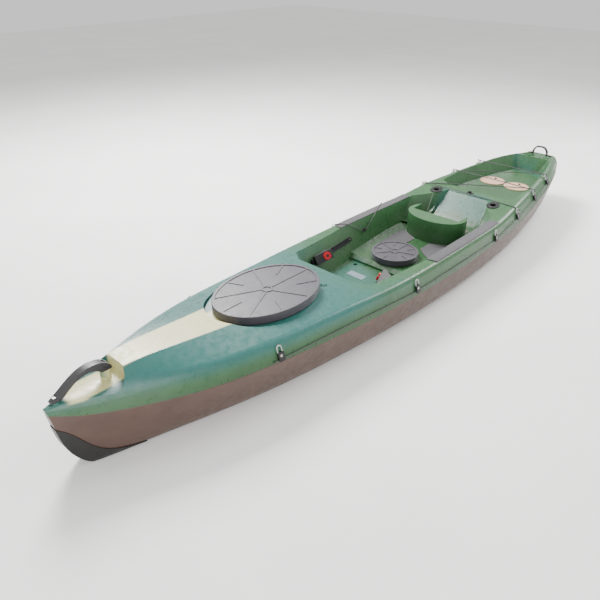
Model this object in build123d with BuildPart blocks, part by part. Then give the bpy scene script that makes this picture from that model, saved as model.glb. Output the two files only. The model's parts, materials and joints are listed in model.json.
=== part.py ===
from build123d import *
import os
from math import atan2, cos, degrees, hypot, pi, radians, sin, tan

# Sit-on-top touring kayak: two moulded shells joined at a seam, with hatches, foot braces, pads,
# carrying handles, pad eyes and elastic cords. Millimetres. +X to the bow, +Y to port, +Z up.
# The origin is on the ground, under the middle of the hull.

os.makedirs("parts", exist_ok=True)

# Overall sizes
LENGTH = 4530.0
BEAM = 880.0
WALL = 4.0
HALF_LENGTH = LENGTH / 2
HALF_BEAM = BEAM / 2

# Fits
SCREW_GAP = 0.25
LID_FIT = 0.6
SLIDE_GAP = 0.4
TURN_GAP = 0.05
STUCK_GAP = 0.1

# Heights of the moulded levels above the ground
FOOTWELL_Z = 120.0
CONSOLE_Z = 155.0
PAN_Z = 168.0
REAR_WELL_Z = 262.0
BOW_RECESS_Z = 361.0
FRONT_POCKET_Z = 345.0

# Hull bottom
KEEL_HALF = 32.0
KEEL_BITE = 1.5
TUNNEL_DEPTH = 16.0
SEAM_ABOVE_CREASE = 4.0
SHOULDER_ROUND = 26.0

# One row a station, bow to stern: share of half the length; shares of half the beam at the seam, the
# shoulder and the bilge; heights of seam, shoulder, crown and keel; half the width of the flat crown.
STATIONS = (
    (1.000, 0.030, 0.022, 0.012, 325, 350, 356, 12, 4),
    (0.971, 0.115, 0.080, 0.050, 306, 352, 366, 9, 18),
    (0.927, 0.225, 0.170, 0.130, 285, 352, 388, 7, 38),
    (0.861, 0.375, 0.295, 0.235, 268, 352, 418, 5, 58),
    (0.750, 0.600, 0.510, 0.390, 255, 350, 412, 0, 84),
    (0.596, 0.785, 0.700, 0.600, 243, 341, 380, 0, 108),
    (0.397, 0.890, 0.800, 0.780, 215, 328, 352, 0, 130),
    (0.199, 0.965, 0.890, 0.890, 200, 313, 314, 0, 140),
    (0.000, 1.000, 0.920, 0.945, 192, 309, 310, 0, 150),
    (-0.221, 0.990, 0.920, 0.930, 194, 309, 310, 0, 150),
    (-0.340, 0.970, 0.905, 0.890, 204, 312, 313, 0, 150),
    (-0.459, 0.940, 0.850, 0.830, 222, 336, 337, 0, 140),
    (-0.614, 0.845, 0.740, 0.710, 256, 353, 354, 2, 120),
    (-0.755, 0.725, 0.620, 0.580, 284, 366, 367, 10, 100),
    (-0.927, 0.480, 0.390, 0.350, 308, 371, 372, 48, 70),
    (-1.000, 0.340, 0.275, 0.240, 314, 365, 366, 100, 50),
)

# Side view of the two ends: how far each point lies in from the end, and its height
STEM = ((0, 356), (12, 295), (26, 210), (46, 130), (79, 66), (138, 5), (190, -20))
STERN = ((0, 366), (6, 290), (22, 190), (50, 110), (100, 45), (170, 0))

# Hatches: centre, half sizes of the lid, heights of its top and of the surface that its rim sits on
FRONT_HATCH_X = 1030.0
FRONT_LID_A = 321.0
FRONT_LID_B = 230.0
FRONT_LID_TOP = 395.0
CENTRE_HATCH_X = -130.0
CENTRE_LID_R = 152.0
CENTRE_LID_TOP = 199.0
LID_SKIN = 4.0
LID_RELIEF = 4.0
SEAL_HEIGHT = 3.0
SEAL_GAP = 0.3
RIM_WALL = 7.0
RIM_FLANGE = 4.0
RIM_FLANGE_REACH = 22.0
LID_CLEAR_Z = 7.0
SHORT_RIB_ROOT = 0.55
LID_EDGE_ROUND = 3.0

# Pads
PAD_THICK = 5.0
FLOOR_PAD_THICK = 4.0
SEAT_PAD_THICK = 12.0

# Side fittings: distance from amidships, and height of the fitting's centre
PAD_EYES = ((1283, 268), (253, 236), (-680, 236), (-1030, 276), (-1385, 302), (-1705, 325))
EYE_WIDTH = 34.0
EYE_TALL = 46.0
EYE_DEEP = 14.0
LINE_RADIUS = 2.5
LINE_OFF_SIDE = 7.5
LINE_BELOW_EYE = 13.0
LOOP_RADIUS = 3.0
LOOP_HALF = 13.0
LOOP_TALL = 38.0

# Foot braces
RAIL_LONG = 440.0
RAIL_TALL = 30.0
RAIL_DEEP = 12.0
RAIL_MID_X = 190.0
RAIL_Z = 225.0
SLOT_TALL = 12.0
SLOT_DEEP = 7.0
PEDAL_LONG = 120.0
PEDAL_REACH = 66.0
PEDAL_TALL = 58.0
PEDAL_REST = 140.0
LOCK_R = 25.0
LOCK_BORE_R = 9.0
LOCK_THICK = 10.0

# Rod holders
ROD_X = -972.0
ROD_Y = 232.0
ROD_BORE_R = 20.5
ROD_TUBE_WALL = 3.0
ROD_TUBE_LONG = 165.0
ROD_LEAN = 12.0

# Scupper tubes through both shells
SCUPPER_X = 78.0
SCUPPER_Y = 160.0
SCUPPER_R = 14.0
SCUPPER_WALL = 4.0


def save(built, label):
    """Names a finished sub-part and writes its STEP file."""
    built.part.label = label
    export_step(built.part, f"parts/{label}.step")


# ---------------------------------------------------------------------------- body of the boat


def body_section(row, inset, shift=0.0):
    """Closed outline across the body at one station, its line moved in by inset."""
    share, seam_b, shoulder_b, bilge_b, seam_z, shoulder_z, crown_z, keel_z, facet = row
    seam = seam_b * HALF_BEAM - inset
    shoulder = shoulder_b * HALF_BEAM - inset
    bilge = bilge_b * HALF_BEAM - inset
    top = shoulder_z - inset
    crown = crown_z - inset
    bottom = keel_z - KEEL_BITE + inset
    keel_half = min(KEEL_HALF, bilge * 0.22)
    runner_in = bilge * 0.42
    runner_out = bilge * 0.74
    tunnel = bottom + TUNNEL_DEPTH * min(1.0, (bilge_b * 2.2) ** 2) * 1.3 + 0.6
    tunnel_bend = (runner_in - keel_half) * 0.35
    bilge_rise = bottom + min(60.0, 140.0 * bilge_b + 20.0)
    rounding = min(SHOULDER_ROUND, shoulder * 0.35)
    flare = (seam - shoulder) * rounding / (shoulder_z - seam_z)
    crown_half = min(facet, shoulder * 0.45)
    rise = (crown - top) * rounding / (shoulder - crown_half)
    side_top = (shoulder + flare, top - rounding)
    deck_edge = (shoulder - rounding, top + rise)
    with BuildSketch(Plane.YZ.offset(share * HALF_LENGTH + shift)) as outline:
        with BuildLine():
            Line((0, bottom), (keel_half, bottom))
            Bezier(
                (keel_half, bottom),
                (keel_half + tunnel_bend, tunnel),
                (runner_in - tunnel_bend, tunnel),
                (runner_in, bottom),
            )
            Line((runner_in, bottom), (runner_out, bottom))
            Bezier(
                (runner_out, bottom),
                (bilge, bottom),
                (bilge + (seam - bilge) * 0.25, bilge_rise),
                (seam, seam_z),
            )
            Line((seam, seam_z), side_top)
            Bezier(side_top, (shoulder, top), deck_edge)
            Line(deck_edge, (crown_half, crown))
            Line((crown_half, crown), (0, crown))
            mirror(about=Plane.YZ)
        make_face()
    return outline.sketch


def side_profile(inset):
    """Side view of the body between its raked ends, which are moved in by inset."""
    with BuildSketch(Plane.XZ) as profile:
        with BuildLine():
            stem = [(HALF_LENGTH - back - inset, height) for back, height in STEM]
            stern = [(back + inset - HALF_LENGTH, height) for back, height in STERN]
            Spline(*stem)
            Spline(*stern)
            Polyline(stem[0], (stem[0][0], 600), (stern[0][0], 600), stern[0])
            Polyline(stem[-1], (stem[-1][0], -60), (stern[-1][0], -60), stern[-1])
        make_face()
    return profile.sketch


def body(inset, shift=0.0):
    """Body of the boat as one solid, moved in by inset; shift brings its last station forward."""
    sections = [body_section(row, inset) for row in STATIONS[:-1]]
    sections.append(body_section(STATIONS[-1], inset, shift))
    with BuildPart() as solid:
        loft(sections=sections)
        extrude(side_profile(inset), amount=BEAM, both=True, mode=Mode.INTERSECT)
    return solid.part


with BuildPart() as outer_body:
    add(body(0.0))
    split(bisect_by=Plane.XY, keep=Keep.TOP)
outer = outer_body.part
inner = body(WALL, WALL)

with BuildPart() as above_seam:
    with BuildSketch(Plane.XZ):
        with BuildLine():
            seam = [(row[0] * HALF_LENGTH, row[4] + SEAM_ABOVE_CREASE) for row in STATIONS]
            ends = ((HALF_LENGTH + 50, seam[0][1] + 6), (-HALF_LENGTH - 50, seam[-1][1] + 2))
            Spline(ends[0], *seam, ends[1])
            Polyline(ends[0], (HALF_LENGTH + 50, 700), (-HALF_LENGTH - 50, 700), ends[1])
        make_face()
    extrude(amount=BEAM, both=True)


def top_of(x, y):
    """Highest point of the outer body over a place in plan."""
    hits = outer.find_intersection_points(Axis((x, y, -500), (0, 0, 1)))
    return max(hits, key=lambda hit: hit[0].Z)


def side_plane(x, z, side, gap=0.0):
    """Plane on the outer side: its x runs along the boat, its y up the side, its z outwards."""
    hits = outer.find_intersection_points(Axis((x, 0, z), (0, side, 0)))
    spot, normal = max(hits, key=lambda hit: hit[0].Y * side)
    return Plane(origin=spot + normal * gap, x_dir=(-side, 0, 0), z_dir=normal)


# ---------------------------------------------------------------------------- moulded hollows

# Outline of the cockpit at its floor and at its rim, port side, front to back
COCKPIT_FLOOR = ((478, 128), (432, 190), (40, 234), (-450, 290), (-600, 292), (-800, 210), (-915, 150))
COCKPIT_RIM = ((562, 205), (500, 292), (40, 335), (-450, 329), (-795, 322), (-905, 216), (-1030, 150))
COCKPIT_RIM_Z = 312.0
REAR_FLOOR = ((-1172, 205), (-1215, 258), (-1450, 245), (-1850, 168), (-2062, 96))
REAR_RIM = ((-1108, 215), (-1160, 300), (-1450, 285), (-1850, 210), (-2095, 138))
REAR_RIM_Z = 352.0
WELL_TOP_Z = 450.0
HUMP_X = -622.0
HUMP_FOOT_A = 160.0
HUMP_FOOT_B = 215.0


def outline_at(points, z, rounding, grow):
    """Closed outline with rounded corners from its port half, at height z, grown by grow."""
    with BuildSketch(Plane.XY.offset(z)) as outline:
        Polygon(*points, *[(x, -y) for x, y in reversed(points)], align=None)
        fillet(outline.vertices(), rounding)
        if grow:
            offset(amount=grow)
    return outline.sketch


def carried_on(low, high, low_z, high_z, z):
    """Outline points on the wall through two outlines, at height z."""
    share = (z - low_z) / (high_z - low_z)
    return [(a + (c - a) * share, b + (d - b) * share) for (a, b), (c, d) in zip(low, high)]


def well(low, high, low_z, high_z, rounding, grow):
    """Hollow with sloping walls through two outlines, open at the top, grown by grow."""
    start = carried_on(low, high, low_z, high_z, low_z - grow)
    end = carried_on(low, high, low_z, high_z, WELL_TOP_Z)
    with BuildPart() as hollow:
        floor = outline_at(start, low_z - grow, rounding, grow)
        mouth = outline_at(end, WELL_TOP_Z, rounding, grow)
        loft(sections=[floor, mouth], ruled=True)
    return hollow.part


def seat(shrink):
    """Raised console, front hump and sloping back inside the cockpit, shrunk by shrink."""
    half = 340.0
    with BuildPart() as block:
        with BuildSketch(Plane.XZ):
            with BuildLine():
                front = 38.0 - shrink
                level = CONSOLE_Z - shrink
                Polyline((front, 60), (front, level - 22), (front - 26, level), (-760, level), (-760, 60), close=True)
            make_face()
        extrude(amount=half, both=True)
        with BuildSketch(Plane.XY.offset(CONSOLE_Z - shrink - 20)) as foot:
            with Locations((HUMP_X, 0)):
                Ellipse(HUMP_FOOT_A - shrink, HUMP_FOOT_B - shrink)
        with BuildSketch(Plane.XY.offset(222 - shrink)) as lip:
            with Locations((HUMP_X, 0)):
                Ellipse(78 - shrink, 192 - shrink)
        loft(sections=[foot.sketch, lip.sketch])
        with BuildSketch(Plane.XZ):
            with BuildLine():
                back = Spline(
                    (-770, PAN_Z + 12 - shrink),
                    (-880, 222 - shrink),
                    (-980, 300 - shrink),
                    (-1050, 352 - shrink),
                    tangents=[(-1, 0.12), (-1, 0.62)],
                )
                Polyline(back @ 1, (-1120, 352 - shrink), (-1120, 60), (-640, 60), (-640, PAN_Z - shrink))
                Line((-640, PAN_Z - shrink), back @ 0)
            make_face()
        extrude(amount=half, both=True)
        with BuildSketch(Plane.XZ):
            with BuildLine():
                dish = Spline(
                    (-800, PAN_Z - shrink),
                    (-890, 208 - shrink),
                    (-975, 282 - shrink),
                    (-1045, 345 - shrink),
                    tangents=[(-1, 0.0), (-1, 0.8)],
                )
                Polyline(
                    dish @ 0,
                    (-655, PAN_Z - shrink),
                    (-612, 212 - shrink),
                    (-598, 226 - shrink),
                    (-598, 400),
                    (-1045, 400),
                    dish @ 1,
                )
            make_face()
        extrude(amount=182.0 + shrink, both=True, mode=Mode.SUBTRACT)
    return block.part


def bow_recess(grow):
    """Hollow in the foredeck under the bow handle, round at its back, grown by grow."""
    back, front, half = 1926.0, HALF_LENGTH + 60, 118.0
    drop = BOW_RECESS_Z - grow
    with BuildPart() as hollow:
        with BuildSketch(Plane.XY.offset(300)):
            with Locations(((back + front) / 2, 0)):
                RectangleRounded(front - back + 2 * grow, 2 * half + 2 * grow, 80)
        extrude(amount=200)
        with BuildSketch(Plane.YZ.offset(1800)):
            with BuildLine():
                arch = ThreePointArc((-half - 20, drop - 26), (0, drop), (half + 20, drop - 26))
                Polyline(arch @ 1, (half + 20, 480), (-half - 20, 480), arch @ 0)
            make_face()
        extrude(amount=600, mode=Mode.INTERSECT)
    return hollow.part


def hatch_pocket(grow):
    """Level oval pocket that the front hatch sits in, grown by grow."""
    with BuildPart() as hollow:
        with BuildSketch(Plane.XY.offset(FRONT_POCKET_Z - grow)):
            with Locations((FRONT_HATCH_X + 16, 0)):
                Ellipse(FRONT_LID_A + 30 + grow, FRONT_LID_B + 26 + grow)
        extrude(amount=120)
    return hollow.part


def hollows(grow):
    """All the hollows moulded into the deck, grown by grow."""
    with BuildPart() as hollow:
        add(well(COCKPIT_FLOOR, COCKPIT_RIM, FOOTWELL_Z, COCKPIT_RIM_Z, 34, grow))
        add(seat(grow), mode=Mode.SUBTRACT)
        add(well(REAR_FLOOR, REAR_RIM, REAR_WELL_Z, REAR_RIM_Z, 30, grow))
        add(bow_recess(grow))
        add(hatch_pocket(grow))
    return hollow.part


open_space = hollows(0.0)

# ---------------------------------------------------------------------------- screws and side planes


def pan_screws(label, planes, head_r, head_tall, shank_r, shank_long):
    """One group of pan-head screws, each standing on its plane with its shank below."""
    with BuildPart() as screws:
        for plane in planes:
            with BuildSketch(plane):
                Circle(head_r)
            extrude(amount=head_tall)
            with BuildSketch(plane):
                Circle(shank_r)
            extrude(amount=-shank_long)
            with BuildSketch(plane.offset(head_tall)):
                Rectangle(head_r * 1.1, head_tall * 0.3)
                Rectangle(head_tall * 0.3, head_r * 1.1)
            extrude(amount=-head_tall * 0.5, mode=Mode.SUBTRACT)
    save(screws, label)


def drill(planes, radius, deep, high=0.0):
    """Cuts round holes into the part being built, from high above each plane to deep below it."""
    for plane in planes:
        with BuildSketch(plane.offset(high)) as mouth:
            Circle(radius)
        extrude(mouth.sketch, amount=-(deep + high), mode=Mode.SUBTRACT)


def shifted(plane, x=0.0, y=0.0, z=0.0):
    """The same plane moved along its own axes."""
    return Plane(origin=plane.from_local_coords((x, y, z)), x_dir=plane.x_dir, z_dir=plane.z_dir)


def level(x, y, z):
    """Level plane at a point."""
    return Plane(origin=(x, y, z), x_dir=(1, 0, 0), z_dir=(0, 0, 1))


EYE_SCREW_R = 2.5
eye_planes = {side: [side_plane(x, z, side, STUCK_GAP) for x, z in PAD_EYES] for side in (1, -1)}

# ---------------------------------------------------------------------------- carrying handles

BOW_HANDLE_FRONT = 2212.0
BOW_HANDLE_REAR = 1982.0
BOW_PILLAR_TOP = 404.0
BOW_PILLAR_R = 23.0
BOW_BOSS_R = 17.0
BOW_BOSS_TOP = BOW_RECESS_Z + 6.0
BOW_HANDLE_HALF = 19.0
HANDLE_SCREW_R = 4.0

with BuildPart() as bow_handle:
    with BuildSketch(Plane.XZ):
        with BuildLine():
            base = BOW_BOSS_TOP + STUCK_GAP
            rest = BOW_PILLAR_TOP + STUCK_GAP
            over = Spline(
                (BOW_HANDLE_FRONT + 22, base + 6),
                (BOW_HANDLE_FRONT - 22, base + 32),
                (2110, 444),
                (2040, 458),
                (BOW_HANDLE_REAR - 6, rest + 34),
                (BOW_HANDLE_REAR - 28, rest + 8),
            )
            under = Spline(
                (BOW_HANDLE_REAR + 22, rest),
                (2045, 430),
                (2115, 421),
                (BOW_HANDLE_FRONT - 52, base + 24),
                (BOW_HANDLE_FRONT - 20, base),
            )
            Polyline(over @ 1, (BOW_HANDLE_REAR - 28, rest), under @ 0)
            Polyline(under @ 1, (BOW_HANDLE_FRONT + 22, base), over @ 0)
        make_face()
    extrude(amount=BOW_HANDLE_HALF, both=True)
    with BuildSketch(Plane.XY.offset(300)):
        with BuildLine():
            Polyline(
                (BOW_HANDLE_FRONT + 30, 13),
                (BOW_HANDLE_REAR - 28, 25),
                (BOW_HANDLE_REAR - 28, -25),
                (BOW_HANDLE_FRONT + 30, -13),
                close=True,
            )
        make_face()
        fillet([v for v in vertices() if v.X < BOW_HANDLE_REAR], 14)
    extrude(amount=300, mode=Mode.INTERSECT)
    front_seat = level(BOW_HANDLE_FRONT, 0, base + 14)
    rear_seat = level(BOW_HANDLE_REAR, 0, rest + 20)
    for spot, above in ((front_seat, 40), (rear_seat, 40)):
        with BuildSketch(spot):
            Circle(8.5)
        extrude(amount=above, mode=Mode.SUBTRACT)
    drill((front_seat, rear_seat), HANDLE_SCREW_R + SCREW_GAP, 40)
save(bow_handle, "bow_handle")
pan_screws("bow_handle_screws", (front_seat, rear_seat), 8.0, 5.0, HANDLE_SCREW_R, 38.0)

STERN_HANDLE_X = -2228.0
STERN_FOOT_Y = 84.0
STERN_HANDLE_TOP = 437.0
stern_deck = top_of(STERN_HANDLE_X, STERN_FOOT_Y)[0].Z
with BuildPart() as stern_handle:
    with BuildSketch(Plane.YZ.offset(STERN_HANDLE_X - 10)):
        with BuildLine():
            foot = stern_deck + 1.0
            arch = Spline(
                (STERN_FOOT_Y - 20, foot + 7),
                (STERN_FOOT_Y - 22, foot + 34),
                (46, STERN_HANDLE_TOP - 14),
                (0, STERN_HANDLE_TOP),
                tangents=[(0.25, 1), (-1, 0)],
            )
            hollow = Spline(
                (STERN_FOOT_Y - 30, foot),
                (STERN_FOOT_Y - 33, foot + 30),
                (40, STERN_HANDLE_TOP - 23),
                (0, STERN_HANDLE_TOP - 10),
                tangents=[(0.1, 1), (-1, 0)],
            )
            Polyline(arch @ 0, (STERN_FOOT_Y + 16, foot + 6), (STERN_FOOT_Y + 18, foot), hollow @ 0)
            mirror(about=Plane.YZ)
        make_face()
    extrude(amount=20)
    stern_seats = [level(STERN_HANDLE_X, y, foot + 6.4) for y in (78, -78)]
    drill(stern_seats, 3.0 + SCREW_GAP, 20, 6)
save(stern_handle, "stern_handle")
pan_screws("stern_handle_screws", [seat_plane.offset(0.6) for seat_plane in stern_seats], 6.0, 4.0, 3.0, 18.0)

# ---------------------------------------------------------------------------- hatches


def ring(centre_x, low, high, out_a, out_b, wall):
    """Upright oval ring, added to the part being built."""
    with BuildSketch(Plane.XY.offset(low)) as band:
        with Locations((centre_x, 0)):
            Ellipse(out_a, out_b)
            Ellipse(out_a - wall, out_b - wall, mode=Mode.SUBTRACT)
    extrude(band.sketch, amount=high - low)


def oval_planes(centre_x, a, b, z, count):
    """Level planes spaced round an oval."""
    turns = [2 * pi * (i + 0.5) / count for i in range(count)]
    return [level(centre_x + a * cos(t), b * sin(t), z) for t in turns]


def hatch(label, centre_x, a, b, lid_top, floor_z, screw_count):
    """Rim, rim screws, seal and lid of one hatch; returns the half sizes of its deck opening."""
    rim_out_a = a - LID_SKIN - LID_FIT
    rim_out_b = b - LID_SKIN - LID_FIT
    plate_low = lid_top - LID_RELIEF - LID_SKIN
    rim_top = plate_low - SEAL_HEIGHT - SEAL_GAP
    mouth_a = rim_out_a - RIM_WALL - RIM_FLANGE_REACH
    mouth_b = rim_out_b - RIM_WALL - RIM_FLANGE_REACH
    base = floor_z + STUCK_GAP
    seats = oval_planes(
        centre_x, mouth_a + RIM_FLANGE_REACH / 2, mouth_b + RIM_FLANGE_REACH / 2, base + RIM_FLANGE, screw_count
    )
    with BuildPart() as rim:
        ring(centre_x, base, rim_top, rim_out_a, rim_out_b, RIM_WALL)
        ring(centre_x, base, base + RIM_FLANGE, rim_out_a - 1, rim_out_b - 1, RIM_WALL + RIM_FLANGE_REACH - 1)
        drill(seats, 2.5 + SCREW_GAP, 20, 1)
    save(rim, f"{label}_rim")
    pan_screws(f"{label}_rim_screws", seats, 4.6, 3.0, 2.5, 14.0)
    with BuildPart() as seal:
        ring(centre_x, plate_low - SEAL_HEIGHT, plate_low, rim_out_a - 0.5, rim_out_b - 0.5, RIM_WALL - 1)
    save(seal, f"{label}_seal")
    with BuildPart() as lid:
        with BuildSketch(Plane.XY.offset(plate_low)):
            with Locations((centre_x, 0)):
                Ellipse(a, b)
        extrude(amount=LID_SKIN)
        ring(centre_x, floor_z + LID_CLEAR_Z, plate_low + 0.5, a, b, LID_SKIN)
        ring(centre_x, plate_low + LID_SKIN, lid_top, a, b, 16)
        with Locations((centre_x, 0, lid_top - LID_RELIEF / 2)):
            Cylinder(30, LID_RELIEF)
            Cylinder(21, LID_RELIEF, mode=Mode.SUBTRACT)
        rib_count = 10
        for i in range(rib_count):
            turn = 2 * pi * i / rib_count
            tip = (centre_x + (a - 14) * cos(turn), (b - 14) * sin(turn))
            root_a = 27 if i % 2 else a * SHORT_RIB_ROOT
            root_b = 27 if i % 2 else b * SHORT_RIB_ROOT
            root = (centre_x + root_a * cos(turn), root_b * sin(turn))
            reach = hypot(tip[0] - root[0], tip[1] - root[1])
            heading = degrees(atan2(tip[1] - root[1], tip[0] - root[0]))
            middle = ((tip[0] + root[0]) / 2, (tip[1] + root[1]) / 2, lid_top - 2.5)
            with Locations(Location(middle, (0, 0, heading))):
                Box(reach, 9, 3)
        outer_edges = lid.edges().group_by(Axis.Z)[-1].sort_by(SortBy.LENGTH)[-1]
        fillet(outer_edges, LID_EDGE_ROUND)
    save(lid, f"{label}_lid")
    return mouth_a + 1, mouth_b + 1, seats


front_mouth = hatch(
    "front_hatch", FRONT_HATCH_X, FRONT_LID_A, FRONT_LID_B, FRONT_LID_TOP, FRONT_POCKET_Z, 14
)
centre_mouth = hatch(
    "centre_hatch", CENTRE_HATCH_X, CENTRE_LID_R, CENTRE_LID_R, CENTRE_LID_TOP, CONSOLE_Z, 8
)

# ---------------------------------------------------------------------------- pads

PAD_LINE_IN = ((33, 330), (-380, 329), (-761, 325))
PAD_LINE_OUT = ((-764, 391), (-380, 400), (18, 399))


def gunwale_pad(side, label):
    """Foam pad that follows the top of the gunwale beside the cockpit."""
    points = [(x, y * side) for x, y in (*PAD_LINE_IN, *PAD_LINE_OUT)]
    with BuildPart() as pad:
        with BuildSketch(Plane.XY.offset(250)):
            Polygon(*points, align=None)
            fillet([v for v in vertices() if v.X > 0 or v.X < -700], 9)
        extrude(amount=120)
        add(Pos(0, 0, PAD_THICK + STUCK_GAP) * outer, mode=Mode.INTERSECT)
        add(Pos(0, 0, STUCK_GAP) * outer, mode=Mode.SUBTRACT)
    save(pad, label)


gunwale_pad(1, "gunwale_pad_port")
gunwale_pad(-1, "gunwale_pad_starboard")

FLOOR_PAD = ((-235, 206), (-498, 216), (-548, 186), (-452, 58), (-345, 58), (-290, 118))


def floor_pad(side, label):
    """Grip pad on the cockpit floor beside the centre hatch, cut round its lid."""
    with BuildPart() as pad:
        with BuildSketch(Plane.XY.offset(CONSOLE_Z + STUCK_GAP)):
            Polygon(*[(x, y * side) for x, y in FLOOR_PAD], align=None)
            fillet(vertices(), 16)
            with Locations((CENTRE_HATCH_X, 0)):
                Circle(CENTRE_LID_R + 9, mode=Mode.SUBTRACT)
            with Locations((HUMP_X, 0)):
                Ellipse(HUMP_FOOT_A + 3, HUMP_FOOT_B + 3, mode=Mode.SUBTRACT)
        extrude(amount=FLOOR_PAD_THICK)
        fillet(pad.faces().sort_by(Axis.Z)[-1].edges(), 1.2)
    save(pad, label)


floor_pad(1, "floor_pad_port")
floor_pad(-1, "floor_pad_starboard")

with BuildPart() as seat_pad:
    with BuildSketch(Plane.XY.offset(PAN_Z + STUCK_GAP)):
        with Locations((-732, 0)):
            RectangleRounded(128, 352, 26)
    extrude(amount=SEAT_PAD_THICK)
    fillet(seat_pad.faces().sort_by(Axis.Z)[-1].edges(), 5)
save(seat_pad, "seat_pad")

# ---------------------------------------------------------------------------- foot braces

cockpit_well = well(COCKPIT_FLOOR, COCKPIT_RIM, FOOTWELL_Z, COCKPIT_RIM_Z, 34, 0.0)


def wall_spot(x, z):
    """Point of the port cockpit wall at a place along the boat and a height."""
    hits = cockpit_well.find_intersection_points(Axis((x, 0, z), (0, 1, 0)))
    return max(hits, key=lambda hit: hit[0].Y)[0]


fore, aft = wall_spot(RAIL_MID_X + 150, RAIL_Z), wall_spot(RAIL_MID_X - 140, RAIL_Z)
high, low = wall_spot(RAIL_MID_X, RAIL_Z + 30), wall_spot(RAIL_MID_X, RAIL_Z - 30)
along = (fore - aft).normalized()
wall_normal = (high - low).cross(along).normalized()
wall_normal = wall_normal if wall_normal.Y < 0 else wall_normal * -1
RAIL_STAND_OFF = 4.0
brace = Plane(origin=(fore + aft) * 0.5 + wall_normal * RAIL_STAND_OFF, x_dir=along, z_dir=wall_normal)
screw_reach = RAIL_LONG / 2 - 12
rail_screw_spots = [shifted(brace, x, 0, RAIL_DEEP - SLOT_DEEP) for x in (-screw_reach, screw_reach)]


def port_and_starboard(built, label):
    """Writes a port sub-part and its mirror image."""
    save(built, f"{label}_port")
    with BuildPart() as other:
        add(built.part.mirror(Plane.XZ))
    save(other, f"{label}_starboard")


with BuildPart() as rail:
    with BuildSketch(brace):
        SlotOverall(RAIL_LONG, RAIL_TALL)
    extrude(amount=RAIL_DEEP)
    with BuildSketch(brace.offset(RAIL_DEEP)):
        SlotOverall(RAIL_LONG - 12, SLOT_TALL)
    extrude(amount=-SLOT_DEEP, mode=Mode.SUBTRACT)
    with BuildSketch(brace.offset(RAIL_DEEP)):
        with Locations((0, RAIL_TALL / 2 - 4.5)):
            with GridLocations(24, 1, 15, 1):
                Rectangle(9, 3.4)
    extrude(amount=-3, mode=Mode.SUBTRACT)
    for spot in rail_screw_spots:
        with BuildSketch(spot):
            Circle(2.5 + SCREW_GAP)
        extrude(amount=-RAIL_DEEP, mode=Mode.SUBTRACT)

port_and_starboard(rail, "foot_rail")

pedal_plane = shifted(brace, PEDAL_REST, 0, RAIL_DEEP + SLIDE_GAP)
half_pedal = PEDAL_LONG / 2
slope_start = Vector(-half_pedal + 20, PEDAL_REACH)
slope_end = Vector(half_pedal, 16)
with BuildPart() as pedal:
    profile_plane = Plane(
        origin=pedal_plane.origin - pedal_plane.y_dir * PEDAL_TALL / 2,
        x_dir=pedal_plane.x_dir,
        z_dir=pedal_plane.y_dir * -1,
    )
    with BuildSketch(profile_plane):
        with BuildLine():
            Polyline(
                (-half_pedal, 0),
                (-half_pedal, PEDAL_REACH - 10),
                (-half_pedal + 8, PEDAL_REACH),
                (slope_start.X, slope_start.Y),
                (slope_end.X, slope_end.Y),
                (half_pedal, 0),
                close=True,
            )
        make_face()
        fillet([v for v in vertices() if abs(profile_plane.to_local_coords(v).Y) > 5], 5)
    extrude(amount=-PEDAL_TALL)
    with BuildSketch(pedal_plane):
        Rectangle(44, SLOT_TALL - 2 * SLIDE_GAP)
    extrude(amount=-(SLOT_DEEP - SLIDE_GAP))
    lock_face = Plane(
        origin=profile_plane.from_local_coords((-10, PEDAL_REACH - 15, -PEDAL_TALL / 2)),
        x_dir=profile_plane.from_local_coords((1, -0.5, 0)) - profile_plane.origin,
        z_dir=profile_plane.from_local_coords((0.5, 1, 0)) - profile_plane.origin,
    )
    with BuildSketch(lock_face.offset(-1)):
        Circle(LOCK_BORE_R - TURN_GAP)
    extrude(amount=LOCK_THICK + 2)
    with BuildSketch(lock_face.offset(LOCK_THICK + 1)):
        RegularPolygon(4, 6)
    extrude(amount=-3, mode=Mode.SUBTRACT)
port_and_starboard(pedal, "pedal")

with BuildPart() as lock:
    with BuildSketch(lock_face.offset(STUCK_GAP + 0.2)):
        Circle(LOCK_R)
        with PolarLocations(LOCK_R, 6):
            Circle(3, mode=Mode.SUBTRACT)
        Circle(LOCK_BORE_R, mode=Mode.SUBTRACT)
    extrude(amount=LOCK_THICK)
    with BuildSketch(lock_face.offset(LOCK_THICK + STUCK_GAP + 0.2)):
        Circle(LOCK_R - 5)
        Circle(LOCK_BORE_R + 4, mode=Mode.SUBTRACT)
    extrude(amount=-2.5, mode=Mode.SUBTRACT)
port_and_starboard(lock, "lock_ring")

tread_plane = Plane(
    origin=profile_plane.from_local_coords((-half_pedal - STUCK_GAP, PEDAL_REACH / 2 - 2, -PEDAL_TALL / 2)),
    x_dir=profile_plane.y_dir,
    z_dir=profile_plane.x_dir * -1,
)
with BuildPart() as tread:
    with BuildSketch(tread_plane):
        RectangleRounded(52, 48, 5)
    extrude(amount=3)
    with BuildSketch(tread_plane.offset(3)):
        with GridLocations(8, 1, 6, 1):
            Rectangle(2.5, 42)
    extrude(amount=-1.5, mode=Mode.SUBTRACT)
port_and_starboard(tread, "pedal_tread")

rail_screw_planes = list(rail_screw_spots)
for spot in rail_screw_spots:
    mirrored = Plane(
        origin=(spot.origin.X, -spot.origin.Y, spot.origin.Z),
        x_dir=(spot.x_dir.X, -spot.x_dir.Y, spot.x_dir.Z),
        z_dir=(spot.z_dir.X, -spot.z_dir.Y, spot.z_dir.Z),
    )
    rail_screw_planes.append(mirrored)
pan_screws("foot_rail_screws", rail_screw_planes, 4.5, 2.6, 2.5, 15.0)

# ---------------------------------------------------------------------------- pad eyes and loops


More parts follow.
